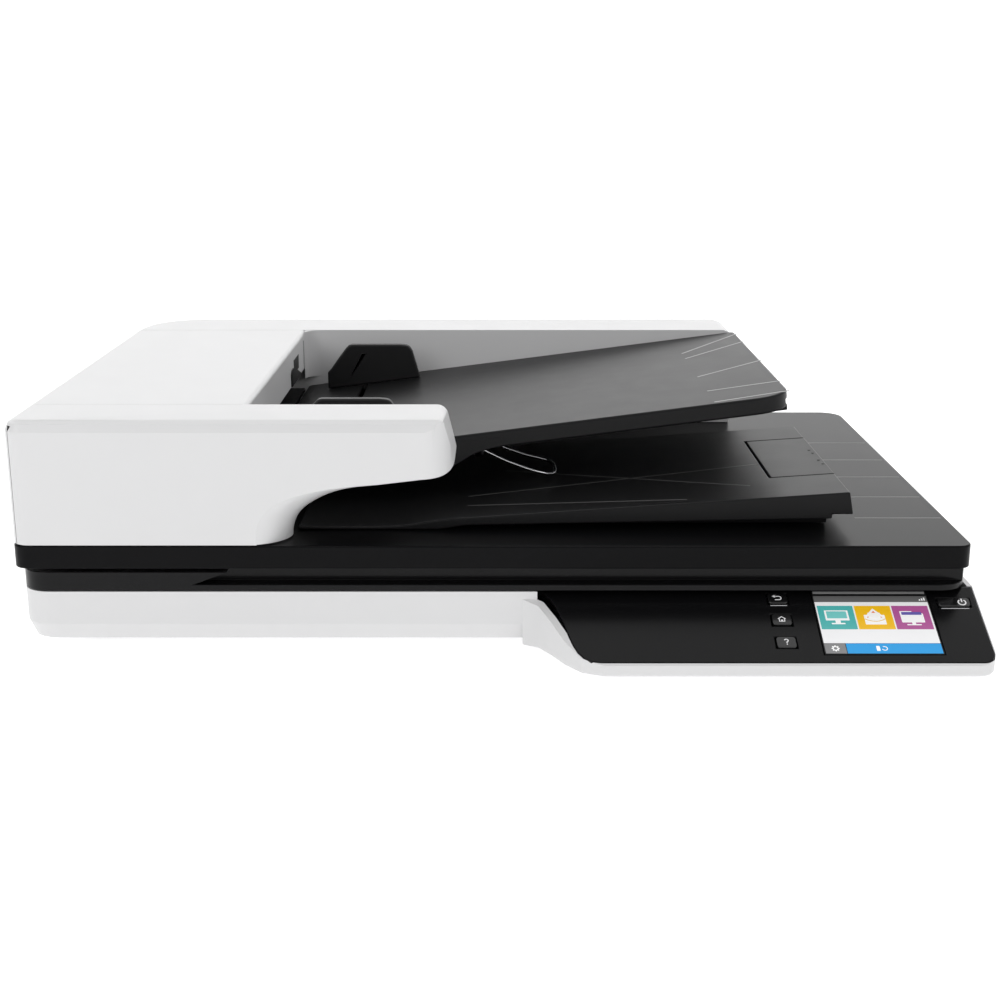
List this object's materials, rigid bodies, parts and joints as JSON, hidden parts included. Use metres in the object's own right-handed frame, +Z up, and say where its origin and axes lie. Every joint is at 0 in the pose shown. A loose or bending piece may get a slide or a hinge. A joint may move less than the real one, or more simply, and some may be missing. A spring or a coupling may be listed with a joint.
{
  "type": "document scanner",
  "caption": "Flatbed document scanner with a sheet feeder on its lid, sloping paper trays and a tilted touch-screen panel.",
  "frame": {"origin": "centre of the footprint, on the surface that the feet stand on", "axes": "+X to the operator's right along the width, +Y to the back, +Z up"},
  "size_m": [0.451, 0.351, 0.1115],
  "materials": {
    "white_case": "satin",
    "light_grey": "satin",
    "gloss_black": "gloss",
    "lid_black": "satin",
    "tray_grey": "fine texture",
    "charcoal": "fine texture",
    "key_black": "gloss",
    "screen": "gloss",
    "clear_glass": "clear",
    "steel": "polished",
    "rubber": "matte",
    "gear_plastic": "satin",
    "circuit_board": "satin",
    "foam_white": "matte",
    "port_black": "satin"
  },
  "bodies": {
    "base": {"base_shell": "white_case", "base_top_frame": "gloss_black", "platen_glass": "clear_glass", "feed_glass_strip": "clear_glass", "panel_cover": "gloss_black", "display_screen": "screen", "control_board": "circuit_board", "main_board": "circuit_board", "carriage_rod": "steel", "carriage_motor": "steel", "drive_belt": "rubber", "dc_inlet": "port_black", "usb_port": "steel", "network_port": "steel", "hinge_socket_left": "charcoal", "hinge_socket_right": "charcoal", "rubber_foot_1": "rubber", "rubber_foot_2": "rubber", "rubber_foot_3": "rubber", "rubber_foot_4": "rubber"},
    "drive_pulley": {"drive_pulley": "steel"},
    "idler_pulley": {"idler_pulley": "gear_plastic"},
    "carriage": {"scan_carriage": "charcoal", "image_sensor": "charcoal"},
    "back_key": {"back_key": "key_black"},
    "home_key": {"home_key": "key_black"},
    "help_key": {"help_key": "key_black"},
    "power_key": {"power_key": "key_black"},
    "hinge_posts": {"hinge_post_left": "charcoal", "hinge_post_right": "charcoal"},
    "lid": {"lid_top": "lid_black", "lid_underside": "light_grey", "document_pad": "foam_white", "hinge_pin_left": "steel", "hinge_pin_right": "steel", "adf_housing": "white_case", "adf_chassis": "charcoal", "output_tray": "tray_grey", "adf_motor": "steel", "adf_sensor_bar": "charcoal"},
    "paper_stop": {"paper_stop": "tray_grey"},
    "adf_hatch": {"adf_hatch": "white_case"},
    "pick_arm": {"pick_arm": "charcoal"},
    "pick_roller": {"pick_roller": "rubber"},
    "feed_shaft": {"feed_roller": "rubber", "feed_gear": "gear_plastic"},
    "separation_shaft": {"separation_roller": "rubber"},
    "turn_shaft": {"turn_roller": "rubber", "turn_gear": "gear_plastic"},
    "exit_shaft": {"exit_roller": "rubber", "exit_gear": "gear_plastic"},
    "idler_gear": {"idler_gear": "gear_plastic"},
    "exit_idler_gear": {"exit_idler_gear": "gear_plastic"},
    "motor_shaft": {"motor_pinion": "steel"},
    "input_tray": {"input_tray": "tray_grey"},
    "guide_rear": {"paper_guide_rear": "charcoal"},
    "guide_front": {"paper_guide_front": "charcoal"},
    "guide_pinion": {"guide_pinion": "gear_plastic"},
    "tray_extension": {"tray_extension": "tray_grey"},
    "hold_wire": {"paper_hold_wire": "steel"}
  },
  "joints": [
    {"name": "carriage_travel", "type": "slide", "parent": "base", "child": "carriage", "axis": [1, 0, 0], "range_m": [0, 0.32]},
    {"name": "drive_pulley_spin", "type": "hinge", "parent": "base", "child": "drive_pulley", "pos_m": [0.19, 0, 0.0135], "axis": [0, 1, 0], "continuous": true},
    {"name": "idler_pulley_spin", "type": "hinge", "parent": "base", "child": "idler_pulley", "pos_m": [-0.2035, 0, 0.0135], "axis": [0, 1, 0], "continuous": true},
    {"name": "back_key_press", "type": "slide", "parent": "base", "child": "back_key", "axis": [0, 0.4067, -0.9135], "range_m": [0, 0.0006], "stiffness_N_per_m": 400},
    {"name": "home_key_press", "type": "slide", "parent": "base", "child": "home_key", "axis": [0, 0.4067, -0.9135], "range_m": [0, 0.0006], "stiffness_N_per_m": 400},
    {"name": "help_key_press", "type": "slide", "parent": "base", "child": "help_key", "axis": [0, 0.4067, -0.9135], "range_m": [0, 0.0006], "stiffness_N_per_m": 400},
    {"name": "power_key_press", "type": "slide", "parent": "base", "child": "power_key", "axis": [0, 0.4067, -0.9135], "range_m": [0, 0.0006], "stiffness_N_per_m": 400},
    {"name": "lid_rise", "type": "slide", "parent": "base", "child": "hinge_posts", "axis": [0, 0, 1], "range_m": [0, 0.012]},
    {"name": "lid_open", "type": "hinge", "parent": "hinge_posts", "child": "lid", "pos_m": [0, 0.154, 0.0462], "axis": [-1, 0, 0], "range_deg": [0, 65]},
    {"name": "paper_stop_flip", "type": "hinge", "parent": "lid", "child": "paper_stop", "pos_m": [0.1692, 0, 0.0716], "axis": [0, 1, 0], "range_deg": [0, 95]},
    {"name": "hatch_open", "type": "hinge", "parent": "lid", "child": "adf_hatch", "pos_m": [-0.2255, 0, 0.0893], "axis": [0, -1, 0], "range_deg": [0, 75]},
    {"name": "pick_arm_lift", "type": "hinge", "parent": "lid", "child": "pick_arm", "pos_m": [-0.15, 0, 0.0854], "axis": [0, -1, 0], "range_deg": [0, 14]},
    {"name": "pick_spin", "type": "hinge", "parent": "pick_arm", "child": "pick_roller", "pos_m": [-0.129, 0, 0.084], "axis": [0, 1, 0], "continuous": true},
    {"name": "feed_spin", "type": "hinge", "parent": "lid", "child": "feed_shaft", "pos_m": [-0.15, 0, 0.0854], "axis": [0, 1, 0], "continuous": true},
    {"name": "separation_spin", "type": "hinge", "parent": "lid", "child": "separation_shaft", "pos_m": [-0.15, 0, 0.0686], "axis": [0, 1, 0], "continuous": true},
    {"name": "turn_spin", "type": "hinge", "parent": "lid", "child": "turn_shaft", "pos_m": [-0.1885, 0, 0.072], "axis": [0, 1, 0], "continuous": true},
    {"name": "exit_spin", "type": "hinge", "parent": "lid", "child": "exit_shaft", "pos_m": [-0.123, 0, 0.0614], "axis": [0, 1, 0], "continuous": true},
    {"name": "idler_gear_spin", "type": "hinge", "parent": "lid", "child": "idler_gear", "pos_m": [-0.17175, 0, 0.08587], "axis": [0, 1, 0], "continuous": true},
    {"name": "exit_idler_spin", "type": "hinge", "parent": "lid", "child": "exit_idler_gear", "pos_m": [-0.13867, 0, 0.06862], "axis": [0, 1, 0], "continuous": true},
    {"name": "motor_spin", "type": "hinge", "parent": "lid", "child": "motor_shaft", "pos_m": [-0.19562, 0, 0.08434], "axis": [0, 1, 0], "continuous": true},
    {"name": "input_tray_lift", "type": "hinge", "parent": "lid", "child": "input_tray", "pos_m": [-0.113, 0, 0.0728], "axis": [0, -1, 0], "range_deg": [0, 35]},
    {"name": "guide_rear_slide", "type": "slide", "parent": "input_tray", "child": "guide_rear", "axis": [0, -1, 0], "range_m": [0, 0.04]},
    {"name": "guide_front_slide", "type": "slide", "parent": "input_tray", "child": "guide_front", "axis": [0, 1, 0], "range_m": [0, 0.04]},
    {"name": "guide_pinion_spin", "type": "hinge", "parent": "input_tray", "child": "guide_pinion", "pos_m": [-0.08004, 0.02375, 0.07561], "axis": [-0.1271, 0, 0.9919], "continuous": true},
    {"name": "extension_pull", "type": "slide", "parent": "input_tray", "child": "tray_extension", "axis": [0.9919, 0, 0.1271], "range_m": [0, 0.07]},
    {"name": "hold_wire_lift", "type": "hinge", "parent": "input_tray", "child": "hold_wire", "pos_m": [-0.00949, 0, 0.07971], "axis": [0, -1, 0], "range_deg": [0, 14]}
  ],
  "couplings": [
    {"joint": "drive_pulley_spin", "follows": "carriage_travel", "rad_per_m": 166.67},
    {"joint": "idler_pulley_spin", "follows": "carriage_travel", "rad_per_m": 166.67},
    {"joint": "pick_spin", "follows": "feed_spin", "ratio": 1},
    {"joint": "turn_spin", "follows": "feed_spin", "ratio": 1},
    {"joint": "idler_gear_spin", "follows": "feed_spin", "ratio": -0.72},
    {"joint": "motor_spin", "follows": "feed_spin", "ratio": -1.8},
    {"joint": "exit_idler_spin", "follows": "feed_spin", "ratio": -0.81818},
    {"joint": "exit_spin", "follows": "feed_spin", "ratio": 1.5},
    {"joint": "guide_front_slide", "follows": "guide_rear_slide", "ratio": 1},
    {"joint": "guide_pinion_spin", "follows": "guide_rear_slide", "rad_per_m": -166.67}
  ]
}
